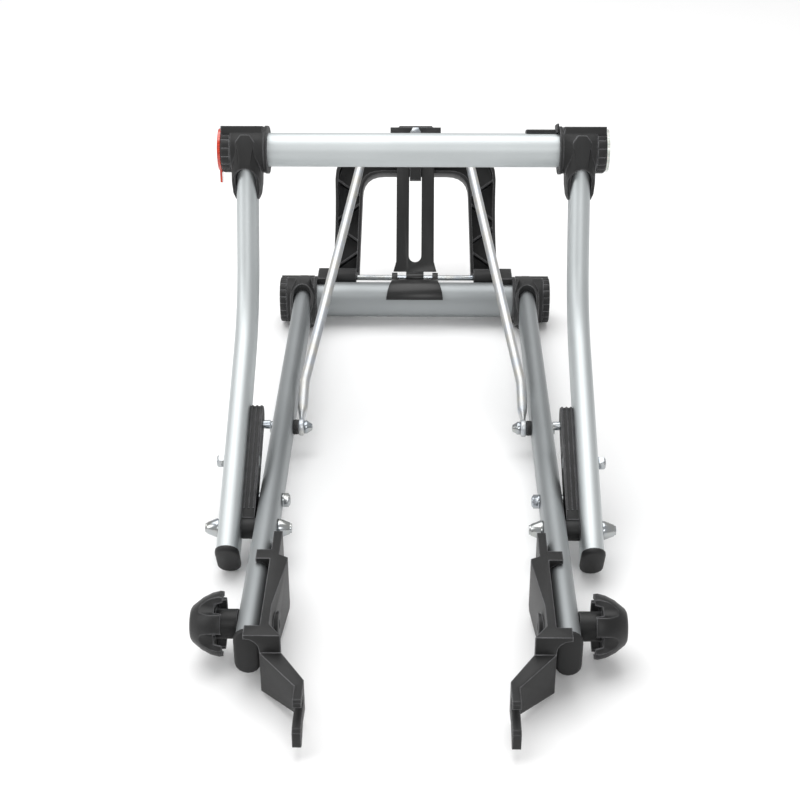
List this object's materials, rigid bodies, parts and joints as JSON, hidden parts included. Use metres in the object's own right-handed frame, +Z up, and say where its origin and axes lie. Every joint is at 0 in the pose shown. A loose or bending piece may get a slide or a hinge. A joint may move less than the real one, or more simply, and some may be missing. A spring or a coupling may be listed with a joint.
{
  "type": "folding luggage rack",
  "caption": "Folding luggage rack: nested flat-oval tube frames on a pivot, a tilting arch with slotted plate and wire bail, and sliding hook jaws with star knobs.",
  "frame": {"origin": "on the floor under the middle of the rack's box", "axes": "+Y from the hooks towards the crossbars, +Z up, X across the rack"},
  "size_m": [0.3498, 0.7964, 0.2911],
  "materials": {
    "satin_aluminium": "satin anodised",
    "black_plastic": "finely textured moulding",
    "zinc_steel": "bright zinc plated",
    "black_steel": "semi-gloss black",
    "amber_lens": "glossy reflector lens",
    "clear_lens": "glossy reflector lens"
  },
  "bodies": {
    "inner_frame": {"inner_leg_left": "satin_aluminium", "inner_leg_right": "satin_aluminium", "inner_crossbar": "satin_aluminium", "inner_corner_left": "black_plastic", "inner_corner_right": "black_plastic", "inner_end_plug_left": "black_plastic", "inner_end_plug_right": "black_plastic", "inner_leg_cap_left": "black_plastic", "inner_leg_cap_right": "black_plastic", "pivot_bolt_left": "zinc_steel", "pivot_bolt_right": "zinc_steel", "pivot_nut_inner_left": "zinc_steel", "pivot_nut_inner_right": "zinc_steel", "pivot_nut_outer_left": "zinc_steel", "pivot_nut_outer_right": "zinc_steel", "pivot_spacer_left": "black_plastic", "pivot_spacer_right": "black_plastic", "stop_bolt_left": "zinc_steel", "stop_bolt_right": "zinc_steel", "stop_nut_left": "zinc_steel", "stop_nut_right": "zinc_steel", "hinge_axle": "zinc_steel", "plate_saddle": "black_steel", "axle_holder_left": "black_plastic", "axle_holder_right": "black_plastic", "bail_spacer_left": "black_plastic", "bail_spacer_right": "black_plastic", "bail_bolt_left": "zinc_steel", "bail_bolt_right": "zinc_steel", "bail_nut_left": "zinc_steel", "bail_nut_right": "zinc_steel"},
    "outer_frame": {"outer_leg_left": "satin_aluminium", "outer_leg_right": "satin_aluminium", "outer_crossbar": "satin_aluminium", "outer_corner_left": "black_plastic", "outer_corner_right": "black_plastic", "outer_end_plug_left": "black_plastic", "outer_end_plug_right": "black_plastic", "outer_leg_cap_left": "black_plastic", "outer_leg_cap_right": "black_plastic", "amber_reflector": "amber_lens", "clear_reflector": "clear_lens", "strap_clip": "black_plastic", "stop_arm_left": "black_plastic", "stop_arm_right": "black_plastic", "stop_pin_left": "zinc_steel", "stop_pin_right": "zinc_steel", "arm_bolt_left": "zinc_steel", "arm_bolt_right": "zinc_steel", "arm_nut_left": "zinc_steel", "arm_nut_right": "zinc_steel"},
    "arch": {"arch": "black_plastic", "slotted_plate": "black_steel"},
    "clamp": {"clamp_block": "black_plastic", "clamp_bolt": "zinc_steel"},
    "bail": {"wire_bail": "zinc_steel"},
    "jaw_left": {"jaw_left": "black_plastic"},
    "jaw_right": {"jaw_right": "black_plastic"},
    "knob_left": {"knob_left": "black_plastic"},
    "knob_right": {"knob_right": "black_plastic"}
  },
  "joints": [
    {"name": "frame_fold", "type": "hinge", "parent": "inner_frame", "child": "outer_frame", "pos_m": [0, -0.15997, 0.03094], "axis": [1, 0, 0], "range_deg": [0, 100]},
    {"name": "arch_tilt", "type": "hinge", "parent": "inner_frame", "child": "arch", "pos_m": [0, 0.29915, 0.04164], "axis": [-1, 0, 0], "range_deg": [0, 46]},
    {"name": "bail_swing", "type": "hinge", "parent": "inner_frame", "child": "bail", "pos_m": [0, 0.00502, 0.02939], "axis": [-1, 0, 0], "range_deg": [0, 15.07]},
    {"name": "clamp_slide", "type": "slide", "parent": "arch", "child": "clamp", "axis": [0, -0.5669, -0.8238], "range_m": [0, 0.04655]},
    {"name": "jaw_slide_left", "type": "slide", "parent": "inner_frame", "child": "jaw_left", "axis": [0, -1, 0.0094], "range_m": [0, 0.016]},
    {"name": "jaw_slide_right", "type": "slide", "parent": "inner_frame", "child": "jaw_right", "axis": [0, -1, 0.0094], "range_m": [0, 0.016]},
    {"name": "knob_turn_left", "type": "hinge", "parent": "jaw_left", "child": "knob_left", "pos_m": [-0.1195, -0.28797, 0.03213], "axis": [-1, 0, 0], "continuous": true},
    {"name": "knob_turn_right", "type": "hinge", "parent": "jaw_right", "child": "knob_right", "pos_m": [0.1195, -0.28797, 0.03213], "axis": [1, 0, 0], "continuous": true}
  ],
  "couplings": [
    {"joint": "bail_swing", "follows": "arch_tilt", "ratio": 0.3233},
    {"joint": "clamp_slide", "follows": "arch_tilt", "m_per_rad": 0.057607}
  ]
}
